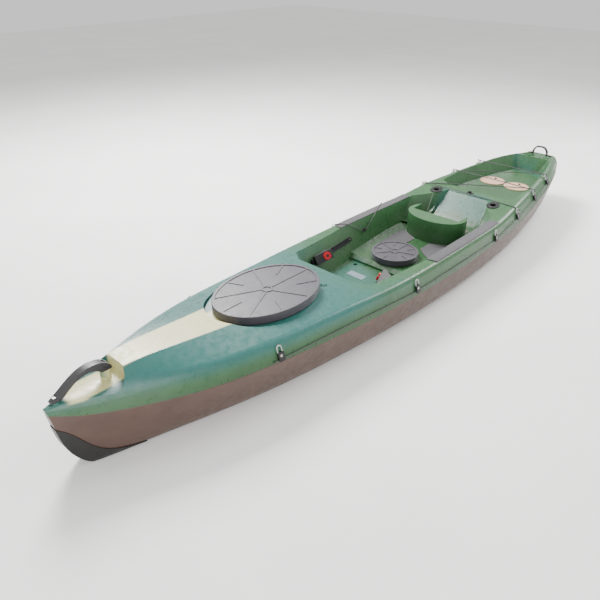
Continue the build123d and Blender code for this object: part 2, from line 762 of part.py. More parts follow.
def pad_eyes(side, label):
    """Pad eyes down one side: a block with a hole for the grab line, and a seat for its screw."""
    with BuildPart() as eyes:
        for plane in eye_planes[side]:
            with BuildSketch(plane):
                RectangleRounded(EYE_WIDTH, EYE_TALL, 6)
            extrude(amount=EYE_DEEP)
            with BuildSketch(plane.offset(EYE_DEEP)):
                with Locations((0, 4)):
                    Circle(8.5)
            extrude(amount=-6, mode=Mode.SUBTRACT)
            with BuildSketch(plane):
                with Locations((0, 4)):
                    Circle(EYE_SCREW_R + SCREW_GAP)
            extrude(amount=EYE_DEEP, mode=Mode.SUBTRACT)
            tunnel_plane = Plane(
                origin=plane.from_local_coords((0, -LINE_BELOW_EYE, LINE_OFF_SIDE)),
                x_dir=plane.y_dir,
                z_dir=plane.x_dir,
            )
            with BuildSketch(tunnel_plane):
                Circle(LINE_RADIUS + 1.8)
            extrude(amount=EYE_WIDTH, both=True, mode=Mode.SUBTRACT)
            for x in (-LOOP_HALF, LOOP_HALF):
                leg_plane = Plane(
                    origin=plane.from_local_coords((x, EYE_TALL / 2, EYE_DEEP / 2 + 1)),
                    x_dir=plane.x_dir,
                    z_dir=plane.y_dir,
                )
                with BuildSketch(leg_plane):
                    Circle(LOOP_RADIUS + STUCK_GAP)
                extrude(amount=7, both=True, mode=Mode.SUBTRACT)
    save(eyes, label)
    planes = [shifted(plane, 0, 4, EYE_DEEP - 6) for plane in eye_planes[side]]
    pan_screws(f"{label.replace('eyes', 'eye_screws')}", planes, 7.5, 4.5, EYE_SCREW_R, 14.0)


pad_eyes(1, "pad_eyes_port")
pad_eyes(-1, "pad_eyes_starboard")


def cord_loops(side, label):
    """Light cord loops that stand up from the pad eyes, one each."""
    with BuildPart() as loops:
        for plane in eye_planes[side]:
            low = shifted(plane, 0, EYE_TALL / 2 - 6, EYE_DEEP / 2 + 1)
            corner = LOOP_TALL - LOOP_HALF
            with BuildLine(low) as path:
                up = Line((-LOOP_HALF, 0), (-LOOP_HALF, corner))
                over = ThreePointArc(up @ 1, (0, LOOP_TALL), (LOOP_HALF, corner))
                Line(over @ 1, (LOOP_HALF, 0))
            with BuildSketch(Plane(origin=path.line @ 0, z_dir=path.line % 0)):
                Circle(LOOP_RADIUS)
            sweep(path=path.line)
    save(loops, label)


cord_loops(1, "cord_loops_port")
cord_loops(-1, "cord_loops_starboard")

# ---------------------------------------------------------------------------- cords held by the boat

KNOT_SIZE = 2.1

# Port grab line, bow to stern, straight through the holes of the six pad eyes
GRAB_LINE = (
    (1326, 351.7, 256.9),
    (1262, 358, 259.3),
    (940, 384.7, 250),
    (600, 411.8, 238.9),
    (275, 432.6, 225.5),
    (231, 433.7, 225.8),
    (-60, 437.5, 227.7),
    (-370, 436.4, 227.4),
    (-658, 431.8, 225.4),
    (-702, 430.7, 225.2),
    (-860, 420, 248.4),
    (-1008, 408.3, 266.6),
    (-1052, 405.6, 265.7),
    (-1210, 386, 282.8),
    (-1364, 365, 294.5),
    (-1408, 360.9, 292.5),
    (-1546, 336.7, 308.9),
    (-1684, 312.4, 318.9),
    (-1750, 304.3, 314.2),
)

# Zigzag over the rear well: it goes through each loop and back over the loop's bar
REAR_BUNGEE_RADIUS = 3.0
REAR_BUNGEE = (
    (-1034, 403.7, 325.3),
    (-1034, 384.8, 318.9),
    (-1034, 372.7, 332.7),
    (-1033, 356.2, 340.7),
    (-1025, -356.6, 347.2),
    (-1027, -392.6, 340.6),
    (-1035, -396.4, 325.0),
    (-1034, -384.8, 318.9),
    (-1034, -372.7, 332.7),
    (-1033, -356.2, 340.7),
    (-1380, 304.1, 368.5),
    (-1383, 340.6, 365.9),
    (-1391, 345.8, 350.7),
    (-1389, 335.0, 343.3),
    (-1389, 321.4, 355.7),
    (-1387, 304.2, 361.9),
    (-1380, -304.1, 368.5),
    (-1383, -340.6, 365.9),
    (-1391, -345.8, 350.7),
    (-1389, -335.0, 343.3),
    (-1389, -321.4, 355.7),
    (-1387, -304.2, 361.9),
    (-1699, 246.0, 388.3),
    (-1704, 282.4, 388.1),
    (-1711, 288.4, 373.1),
    (-1710, 278.2, 365.1),
    (-1709, 263.8, 376.5),
    (-1707, 246.2, 381.5),
    (-1709, -263.8, 376.5),
    (-1710, -278.2, 365.1),
    (-1710, -295.7, 374.8),
)

# Paddle keeper: from an eye on the starboard side, over the pad, round the hook and back
KEEPER_RADIUS = 2.5
PADDLE_KEEPER = (
    (25, -428, 250.4),
    (25, -415.9, 290.7),
    (21, -404, 316),
    (-27, -333, 321.5),
    (-46, -318.5, 314),
    (-180.4, -292, 231.5),
    (-185.6, -292, 231.5),
    (-335, -318.5, 315),
    (-354, -333, 322),
    (-524, -406.5, 315.5),
    (-530, -415.2, 290.7),
    (-530, -425.9, 250.1),
)


def cord(label, route, radius):
    """Cord along a route of straight runs and tangent arcs, with a knot at each end."""
    points = [Vector(*point) for point in route]
    runs = [(b - a).length for a, b in zip(points, points[1:])]
    turns = [(b - a).get_angle(c - b) for a, b, c in zip(points, points[1:], points[2:])]
    radii = [0.45 * min(pair) / tan(radians(turn / 2)) for pair, turn in zip(zip(runs, runs[1:]), turns)]
    with BuildPart() as strand:
        with BuildLine() as path:
            FilletPolyline(*points, radius=radii)
        with BuildSketch(Plane(origin=path.line @ 0, z_dir=path.line % 0)):
            Circle(radius)
        sweep(path=path.line)
        length = sum(edge.length for edge in path.edges())
        ideal = pi * radius**2 * length
        print(f"{label}: length {length:.0f}, tube volume / ideal {strand.part.volume / ideal:.4f},")
        print(f"  smallest radius {min(radii):.1f}, radii {[round(r) for r in radii]}")
        with Locations(points[0], points[-1]):
            Sphere(radius * KNOT_SIZE)
    save(strand, label)


cord("grab_line_port", GRAB_LINE, LINE_RADIUS)
cord("grab_line_starboard", [(x, -y, z) for x, y, z in GRAB_LINE], LINE_RADIUS)
cord("rear_bungee", REAR_BUNGEE, REAR_BUNGEE_RADIUS)
cord("paddle_keeper_bungee", PADDLE_KEEPER, KEEPER_RADIUS)

KEEPER_EYE_X = (25.0, -530.0)
KEEPER_EYE_Z = 268.0
KEEPER_EYE_DEEP = 11.0
KEEPER_SCREW_R = 1.8
KEEPER_HOOK_X = -183.0
KEEPER_HOOK_Z = 236.0
KEEPER_HOOK_STEM_R = 5.0
keeper_eye_planes = [side_plane(x, KEEPER_EYE_Z, -1, STUCK_GAP) for x in KEEPER_EYE_X]
keeper_screw_planes = [shifted(plane, x, 0, KEEPER_EYE_DEEP - 3) for plane in keeper_eye_planes for x in (-11, 11)]
with BuildPart() as keeper_eyes:
    for plane in keeper_eye_planes:
        with BuildSketch(plane):
            RectangleRounded(34, 20, 5)
        extrude(amount=KEEPER_EYE_DEEP)
        tunnel_plane = Plane(
            origin=plane.from_local_coords((0, 0, 5.5)), x_dir=plane.x_dir, z_dir=plane.y_dir
        )
        with BuildSketch(tunnel_plane):
            Circle(KEEPER_RADIUS + 0.9)
        extrude(amount=20, both=True, mode=Mode.SUBTRACT)
    drill(keeper_screw_planes, 3.6, 0, 5)
    drill(keeper_screw_planes, KEEPER_SCREW_R + SCREW_GAP, 12)
save(keeper_eyes, "keeper_eyes")
pan_screws("keeper_eye_screws", keeper_screw_planes, 3.3, 2.2, KEEPER_SCREW_R, 14.0)

hook_hits = cockpit_well.find_intersection_points(Axis((KEEPER_HOOK_X, 0, KEEPER_HOOK_Z), (0, -1, 0)))
hook_spot, hook_normal = min(hook_hits, key=lambda hit: hit[0].Y)
hook_plane = Plane(origin=hook_spot - hook_normal * STUCK_GAP, x_dir=(1, 0, 0), z_dir=hook_normal * -1)
with BuildPart() as keeper_hook:
    with BuildSketch(hook_plane):
        Circle(12)
    extrude(amount=4)
    with BuildSketch(hook_plane):
        Circle(KEEPER_HOOK_STEM_R)
    extrude(amount=16)
    with BuildSketch(hook_plane.offset(13)):
        Circle(11)
    extrude(amount=4)
    fillet(keeper_hook.edges().filter_by(GeomType.CIRCLE).group_by(SortBy.RADIUS)[-2], 1.2)
save(keeper_hook, "keeper_hook")

# ---------------------------------------------------------------------------- deck fittings

FITTING_SCREW_R = 2.2
FITTING_HEAD_R = 4.2
ROD_FLANGE_A = 52.0
ROD_FLANGE_B = 43.0
ROD_FLANGE_THICK = 4.0


def on_deck(x, y, gap):
    """Plane on the deck over a place in plan, its x along the boat."""
    spot, normal = top_of(x, y)
    return Plane(origin=spot + normal * gap, x_dir=(1, 0, 0), z_dir=normal)


flange_top = Pos(0, 0, ROD_FLANGE_THICK + STUCK_GAP) * outer
flange_base = Pos(0, 0, STUCK_GAP) * outer
rod_axes = {}
rod_screw_planes = []
for side, label in ((1, "rod_holder_port"), (-1, "rod_holder_starboard")):
    mouth_spot = top_of(ROD_X, ROD_Y * side)[0]
    lean = (0, side * sin(radians(ROD_LEAN)), cos(radians(ROD_LEAN)))
    rod_axes[side] = Plane(origin=mouth_spot, x_dir=(1, 0, 0), z_dir=lean)
    screw_planes = [
        on_deck(ROD_X + reach, ROD_Y * side, ROD_FLANGE_THICK + STUCK_GAP) for reach in (-38, 38)
    ]
    rod_screw_planes.extend(screw_planes)
    with BuildPart() as holder:
        with BuildSketch(Plane.XY.offset(mouth_spot.Z - 20)):
            with Locations((ROD_X, ROD_Y * side)):
                Ellipse(ROD_FLANGE_A, ROD_FLANGE_B)
        extrude(amount=60)
        add(flange_base, mode=Mode.SUBTRACT)
        with BuildSketch(rod_axes[side].offset(-ROD_TUBE_LONG)):
            Circle(ROD_BORE_R + ROD_TUBE_WALL)
        extrude(amount=ROD_TUBE_LONG + 30)
        add(flange_top, mode=Mode.INTERSECT)
        with BuildSketch(rod_axes[side].offset(-ROD_TUBE_LONG + ROD_TUBE_WALL)):
            Circle(ROD_BORE_R)
        extrude(amount=ROD_TUBE_LONG + 60, mode=Mode.SUBTRACT)
        drill(screw_planes, FITTING_SCREW_R + SCREW_GAP, 12, 3)
    save(holder, label)
pan_screws("rod_holder_screws", rod_screw_planes, FITTING_HEAD_R, 2.6, FITTING_SCREW_R, 16.0)

CENTRE_EYE_X = -1058.0
CENTRE_EYE_TALL = 16.0
centre_eye_plane = on_deck(CENTRE_EYE_X, 0, STUCK_GAP * 2)
centre_screw_planes = [shifted(centre_eye_plane, 0, y, 5) for y in (-17, 17)]
with BuildPart() as centre_pad_eye:
    with BuildSketch(centre_eye_plane):
        RectangleRounded(26, 50, 6)
    extrude(amount=5)
    with BuildSketch(centre_eye_plane):
        RectangleRounded(16, 22, 5)
    extrude(amount=CENTRE_EYE_TALL)
    hole_plane = Plane(
        origin=centre_eye_plane.from_local_coords((0, 0, 10)),
        x_dir=centre_eye_plane.y_dir,
        z_dir=centre_eye_plane.x_dir,
    )
    with BuildSketch(hole_plane):
        Circle(4)
    extrude(amount=20, both=True, mode=Mode.SUBTRACT)
    drill(centre_screw_planes, FITTING_SCREW_R + SCREW_GAP, 12, 3)
save(centre_pad_eye, "centre_pad_eye")
pan_screws("centre_pad_eye_screws", centre_screw_planes, FITTING_HEAD_R, 2.6, FITTING_SCREW_R, 14.0)

# ---------------------------------------------------------------------------- loose-fitting plates

DISC_X = -1620.0
DISC_Y = 103.0
DISC_A = 90.0
DISC_B = 97.0
DISC_THICK = 6.0
disc_base = REAR_WELL_Z + STUCK_GAP
for side, label in ((1, "rear_disc_port"), (-1, "rear_disc_starboard")):
    with BuildPart() as disc:
        with BuildSketch(Plane.XY.offset(disc_base)):
            with Locations((DISC_X, DISC_Y * side)):
                Ellipse(DISC_A, DISC_B)
        extrude(amount=DISC_THICK)
        with BuildSketch(Plane.XY.offset(disc_base + DISC_THICK)):
            with Locations((DISC_X, DISC_Y * side)):
                Ellipse(DISC_A - 9, DISC_B - 9)
        extrude(amount=-1.5, mode=Mode.SUBTRACT)
    save(disc, label)
with BuildPart() as rear_disc_studs:
    stud_base = disc_base + DISC_THICK - 1.5 + STUCK_GAP
    with Locations(*[(DISC_X - 55, DISC_Y * side, stud_base) for side in (1, -1)]):
        Cylinder(8, 5, align=(Align.CENTER, Align.CENTER, Align.MIN))
save(rear_disc_studs, "rear_disc_studs")

with BuildPart() as floor_plate:
    with BuildSketch(Plane.XY.offset(FOOTWELL_Z + STUCK_GAP)):
        with Locations((190, -62)):
            RectangleRounded(55, 125, 4)
    extrude(amount=1.5)
save(floor_plate, "floor_plate")

# ---------------------------------------------------------------------------- keel guard and foam

GUARD_THICK = 3.0
GUARD_TOP = ((2256, 254), (2213, 223), (2174, 176), (2130, 114), (2087, 74), (2039, 47), (1965, 25), (1905, 12))
guard_outside = body(-GUARD_THICK - STUCK_GAP)
guard_inside = body(-STUCK_GAP)
with BuildPart() as bow_keel_guard:
    with BuildSketch(Plane.XZ):
        with BuildLine():
            edge = Spline(*GUARD_TOP)
            Polyline(edge @ 1, (1895, 0), (HALF_LENGTH + 20, 0), (HALF_LENGTH + 20, 256), edge @ 0)
        make_face()
    extrude(amount=BEAM / 2, both=True)
    add(guard_outside, mode=Mode.INTERSECT)
    add(guard_inside, mode=Mode.SUBTRACT)
save(bow_keel_guard, "bow_keel_guard")

with BuildPart() as bow_foam_block:
    with BuildSketch(Plane.XY.offset(28)):
        with Locations((1600, 0)):
            RectangleRounded(300, 140, 12)
    extrude(amount=300)
save(bow_foam_block, "bow_foam_block")

with BuildPart() as stern_foam_block:
    with BuildSketch(Plane.XY.offset(38)):
        with Locations((-1600, 0)):
            RectangleRounded(300, 180, 12)
    extrude(amount=212)
save(stern_foam_block, "stern_foam_block")

# ---------------------------------------------------------------------------- drain plug

DRAIN_Z = 150.0
DRAIN_FACE_X = -2244.0
DRAIN_BOSS_R = 23.0
DRAIN_SHANK_R = 9.0
DRAIN_GAP = 0.3
DRAIN_SHANK = 20.0
drain_plane = Plane(origin=(DRAIN_FACE_X, 0, DRAIN_Z), x_dir=(0, 1, 0), z_dir=(-1, 0, 0))
with BuildPart() as drain_plug:
    with BuildSketch(drain_plane.offset(DRAIN_GAP)):
        Circle(16)
    extrude(amount=5)
    with BuildSketch(drain_plane.offset(DRAIN_GAP)):
        Circle(DRAIN_SHANK_R)
    extrude(amount=-DRAIN_SHANK)
    with BuildSketch(drain_plane.offset(DRAIN_GAP + 5)):
        Rectangle(24, 4)
    extrude(amount=-2.5, mode=Mode.SUBTRACT)
save(drain_plug, "drain_plug")

# ---------------------------------------------------------------------------- shells

PILLAR_BASE = BOW_RECESS_Z - 3.0
RIB_TALL = 5.0
SCUPPER_GAP = 0.3
STERN_RIBS = ((-2112, 38), (-2130, 66), (-2146, 94))
BUMP = (720.0, 120.0)

with BuildPart() as lining:
    add(hollows(WALL))
    add(outer, mode=Mode.INTERSECT)

with BuildPart() as stern_ribs:
    for x, y in STERN_RIBS:
        for side in (1, -1):
            with BuildSketch(Plane.XY.offset(366)):
                with Locations(Location((x - 30, y * side, 0), (0, 0, 25 * side))):
                    SlotOverall(78, 11)
            extrude(amount=40)
    add(Pos(0, 0, RIB_TALL) * outer, mode=Mode.INTERSECT)

with BuildPart() as scupper_tubes:
    with BuildSketch(Plane.XY.offset(-5)):
        with Locations((SCUPPER_X, SCUPPER_Y), (SCUPPER_X, -SCUPPER_Y)):
            Circle(SCUPPER_R + SCUPPER_WALL)
    extrude(amount=FOOTWELL_Z + 4)
    add(outer, mode=Mode.INTERSECT)

with BuildPart() as deck_shell:
    add(outer)
    add(inner, mode=Mode.SUBTRACT)
    add(above_seam.part, mode=Mode.INTERSECT)
    add(lining.part)
    add(open_space, mode=Mode.SUBTRACT)
    ring(FRONT_HATCH_X, 330, FRONT_POCKET_Z, FRONT_LID_A - 2, FRONT_LID_B - 2, 34)
    add(stern_ribs.part)
    add(scupper_tubes.part)
    with BuildSketch(Plane.XY.offset(PILLAR_BASE)):
        with Locations((BOW_HANDLE_REAR, 0)):
            Circle(BOW_PILLAR_R)
    extrude(amount=BOW_PILLAR_TOP - PILLAR_BASE)
    with BuildSketch(Plane.XY.offset(PILLAR_BASE)):
        with Locations((BOW_HANDLE_FRONT, 0)):
            Circle(BOW_BOSS_R)
    extrude(amount=BOW_BOSS_TOP - PILLAR_BASE)
    for side in (1, -1):
        with BuildSketch(on_deck(BUMP[0], BUMP[1] * side, -2)):
            Ellipse(24, 19)
        extrude(amount=11, taper=28)
    for centre_x, mouth in ((FRONT_HATCH_X, front_mouth), (CENTRE_HATCH_X, centre_mouth)):
        with BuildSketch(Plane.XY.offset(100)) as opening:
            with Locations((centre_x, 0)):
                Ellipse(mouth[0], mouth[1])
        extrude(amount=400, mode=Mode.SUBTRACT)
        drill(mouth[2], 2.5 + SCREW_GAP, 24)
    with BuildSketch(Plane.XY.offset(-5)):
        with Locations((SCUPPER_X, SCUPPER_Y), (SCUPPER_X, -SCUPPER_Y)):
            Circle(SCUPPER_R)
    extrude(amount=FOOTWELL_Z + 10, mode=Mode.SUBTRACT)
    drill((front_seat, rear_seat), HANDLE_SCREW_R + SCREW_GAP, 42)
    drill(stern_seats, 3.0 + SCREW_GAP, 24)
    for side in (1, -1):
        drill([shifted(plane, 0, 4, 0) for plane in eye_planes[side]], EYE_SCREW_R + SCREW_GAP, 12, 2)
        drill([rod_axes[side]], ROD_BORE_R + ROD_TUBE_WALL + 1.0, 40, 12)
    drill(rail_screw_planes, 2.5 + SCREW_GAP, 22)
    drill(keeper_screw_planes, KEEPER_SCREW_R + SCREW_GAP, 20)
    drill([*rod_screw_planes, *centre_screw_planes], FITTING_SCREW_R + SCREW_GAP, 20)
save(deck_shell, "deck_shell")

with BuildPart() as hull_shell:
    add(outer)
    with BuildSketch(drain_plane):
        Circle(DRAIN_BOSS_R)
    extrude(amount=-(DRAIN_SHANK + 4))
    add(inner, mode=Mode.SUBTRACT)
    with BuildSketch(drain_plane):
        Circle(DRAIN_BOSS_R)
    extrude(amount=-(DRAIN_SHANK + 4))
    add(above_seam.part, mode=Mode.SUBTRACT)
    with BuildSketch(Plane.XY.offset(-5)):
        with Locations((SCUPPER_X, SCUPPER_Y), (SCUPPER_X, -SCUPPER_Y)):
            Circle(SCUPPER_R + SCUPPER_WALL + SCUPPER_GAP)
    extrude(amount=60, mode=Mode.SUBTRACT)
    drill([drain_plane], DRAIN_SHANK_R + DRAIN_GAP, DRAIN_SHANK + 10, 2)
save(hull_shell, "hull_shell")
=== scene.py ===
"""Looks of a sit-on-top touring kayak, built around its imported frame. Metres, +X bow, +Y port, +Z up."""

import json
import logging
import math
from dataclasses import dataclass
from enum import Enum

import bmesh
import bpy
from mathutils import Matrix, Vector


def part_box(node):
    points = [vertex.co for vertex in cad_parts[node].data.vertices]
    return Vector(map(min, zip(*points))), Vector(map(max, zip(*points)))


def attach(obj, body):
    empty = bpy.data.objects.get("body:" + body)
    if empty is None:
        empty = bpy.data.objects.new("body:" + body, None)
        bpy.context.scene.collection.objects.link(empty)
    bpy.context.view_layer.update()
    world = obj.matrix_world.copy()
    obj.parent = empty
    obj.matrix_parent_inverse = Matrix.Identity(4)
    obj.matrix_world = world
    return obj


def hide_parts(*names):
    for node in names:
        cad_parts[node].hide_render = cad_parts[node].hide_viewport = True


log = logging.getLogger("kayak")
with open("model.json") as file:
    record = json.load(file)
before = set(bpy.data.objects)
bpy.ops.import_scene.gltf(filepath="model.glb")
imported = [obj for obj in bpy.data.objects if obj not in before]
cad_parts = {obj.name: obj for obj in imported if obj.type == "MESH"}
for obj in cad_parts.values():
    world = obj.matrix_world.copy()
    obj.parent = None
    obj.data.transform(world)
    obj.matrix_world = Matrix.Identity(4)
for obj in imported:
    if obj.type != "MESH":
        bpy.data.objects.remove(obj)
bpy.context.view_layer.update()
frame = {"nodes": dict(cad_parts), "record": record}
MM = 0.001
BAND = 2 * math.pi / 10
Point = tuple[float, float, float]


class Grain(Enum):
    """How a surface was made, which gives its fine relief."""

    MOULDED = "moulded"
    LEATHERY = "leathery"
    CELLS = "cells"
    BRUSHED = "brushed"


def to_linear(code: str) -> tuple[float, float, float, float]:
    """Turns an sRGB hex colour into linear values.

    Args:
        code: Six hex digits after a hash sign.

    Returns:
        Red, green, blue and an alpha of one.
    """
    parts = [int(code[i : i + 2], 16) / 255 for i in (1, 3, 5)]
    lin = [c / 12.92 if c <= 0.04045 else ((c + 0.055) / 1.055) ** 2.4 for c in parts]
    return (lin[0], lin[1], lin[2], 1.0)


def add_node(
    tree: bpy.types.NodeTree, kind: str, links: dict | None = None, **settings: object
) -> bpy.types.Node:
    """Adds a node with its settings, values and links.

    Args:
        tree: Node tree that gets the node.
        kind: Blender's type name, without its ShaderNode prefix.
        links: Input name or number to a value, or to the output socket it is fed from.
        settings: Properties of the node.

    Returns:
        The new node.
    """
    node = tree.nodes.new("ShaderNode" + kind)
    for name, value in settings.items():
        setattr(node, name, value)
    for key, value in (links or {}).items():
        if isinstance(value, bpy.types.NodeSocket):
            tree.links.new(value, node.inputs[key])
        else:
            node.inputs[key].default_value = value
    return node


def blend_colours(
    tree: bpy.types.NodeTree, share: object, first: object, second: object
) -> bpy.types.NodeSocket:
    """Mixes two colours by a share.

    Args:
        tree: Node tree that gets the node.
        share: Value or socket, 0 for the first colour and 1 for the second.
        first: Colour or socket.
        second: Colour or socket.

    Returns:
        The mixed colour's socket.
    """
    node = add_node(tree, "Mix", {0: share, 6: first, 7: second}, data_type="RGBA")
    return node.outputs[2]


def ramp(
    tree: bpy.types.NodeTree, value: object, low: float, high: float, to: tuple = (0.0, 1.0)
) -> bpy.types.NodeSocket:
    """Carries a value smoothly from one span to another.

    Args:
        tree: Node tree that gets the node.
        value: Socket to carry over.
        low: Value that becomes the first end of the new span.
        high: Value that becomes its second end.
        to: Both ends of the new span.

    Returns:
        The new value's socket.
    """
    links = {0: value, 1: low, 2: high, 3: to[0], 4: to[1]}
    return add_node(tree, "MapRange", links, interpolation_type="SMOOTHSTEP").outputs[0]


def maths(tree: bpy.types.NodeTree, operation: str, *values: object) -> bpy.types.NodeSocket:
    """Works out one sum on values or sockets and returns its socket."""
    return add_node(tree, "Math", dict(enumerate(values)), operation=operation).outputs[0]


def product(tree: bpy.types.NodeTree, *shares: object) -> bpy.types.NodeSocket:
    """Multiplies two or more shares and returns the product's socket."""
    result = shares[0]
    for share in shares[1:]:
        result = maths(tree, "MULTIPLY", result, share)
    return result


@dataclass(frozen=True)
class Finish:
    """One finish: two close colours, a relief and a gloss, at real sizes in millimetres."""

    name: str
    colour: str
    shade: str
    roughness: float
    ior: float = 1.5
    metallic: float = 0.0
    grain: Grain = Grain.MOULDED
    grain_mm: float = 3.0
    depth_mm: float = 0.1
    blotch_mm: float = 90.0
    spread: float = 0.08
    sheen: float = 0.0

    def place(self, tree: bpy.types.NodeTree) -> bpy.types.NodeSocket:
        """Returns the socket with each point's place on the piece, in metres."""
        return add_node(tree, "TexCoord").outputs["Object"]

    def tone(self, tree: bpy.types.NodeTree, place: bpy.types.NodeSocket) -> bpy.types.NodeSocket:
        """Mixes the two colours in soft cloudy patches.

        Args:
            tree: Node tree of the material.
            place: Socket with the place on the piece.

        Returns:
            Socket with the colour.
        """
        cloud = add_node(tree, "TexNoise", {"Vector": place, "Scale": 1000 / self.blotch_mm, "Detail": 5.0})
        share = ramp(tree, cloud.outputs[0], 0.35, 0.65)
        return blend_colours(tree, share, to_linear(self.colour), to_linear(self.shade))

    def relief(self, tree: bpy.types.NodeTree, place: bpy.types.NodeSocket) -> bpy.types.NodeSocket:
        """Makes the height pattern of the surface.

        Args:
            tree: Node tree of the material.
            place: Socket with the place on the piece.

        Returns:
            Socket with the height, from 0 to 1.
        """
        scale = 1000 / self.grain_mm
        if self.grain is Grain.CELLS:
            links = {"Vector": place, "Scale": scale}
            return add_node(tree, "TexVoronoi", links, feature="SMOOTH_F1").outputs["Distance"]
        if self.grain is Grain.LEATHERY:
            links = {"Vector": place, "Scale": scale}
            cells = add_node(tree, "TexVoronoi", links, feature="DISTANCE_TO_EDGE").outputs["Distance"]
            return ramp(tree, cells, 0.0, 0.25)
        if self.grain is Grain.BRUSHED:
            stretched = add_node(tree, "Mapping", {"Vector": place, "Scale": (0.06, 1.0, 1.0)}).outputs[0]
            return add_node(tree, "TexNoise", {"Vector": stretched, "Scale": scale, "Detail": 3.0}).outputs[0]
        return add_node(tree, "TexNoise", {"Vector": place, "Scale": scale, "Detail": 2.0}).outputs[0]

    def make(self) -> bpy.types.Material:
        """Builds the material and returns it."""
        material = bpy.data.materials.new(self.name)
        material.use_nodes = True
        tree = material.node_tree
        shader = tree.nodes["Principled BSDF"]
        place = self.place(tree)
        height = self.relief(tree, place)
        tree.links.new(self.tone(tree, place), shader.inputs["Base Color"])
        scuff_scale = 1000 / (self.blotch_mm / 3)
        scuffs = add_node(tree, "TexNoise", {"Vector": place, "Scale": scuff_scale, "Detail": 6.0})
        low, high = self.roughness - self.spread, self.roughness + self.spread
        rough = ramp(tree, scuffs.outputs[0], 0.3, 0.7, (low, high))
        tree.links.new(rough, shader.inputs["Roughness"])
        bump = add_node(tree, "Bump", {"Height": height, "Distance": self.depth_mm * MM, "Strength": 0.8})
        tree.links.new(bump.outputs[0], shader.inputs["Normal"])
        shader.inputs["Metallic"].default_value = self.metallic
        if not self.metallic:
            shader.inputs["IOR"].default_value = self.ior
        if self.sheen:
            shader.inputs["Sheen Weight"].default_value = self.sheen
            shader.inputs["Sheen Roughness"].default_value = 0.6
        return material


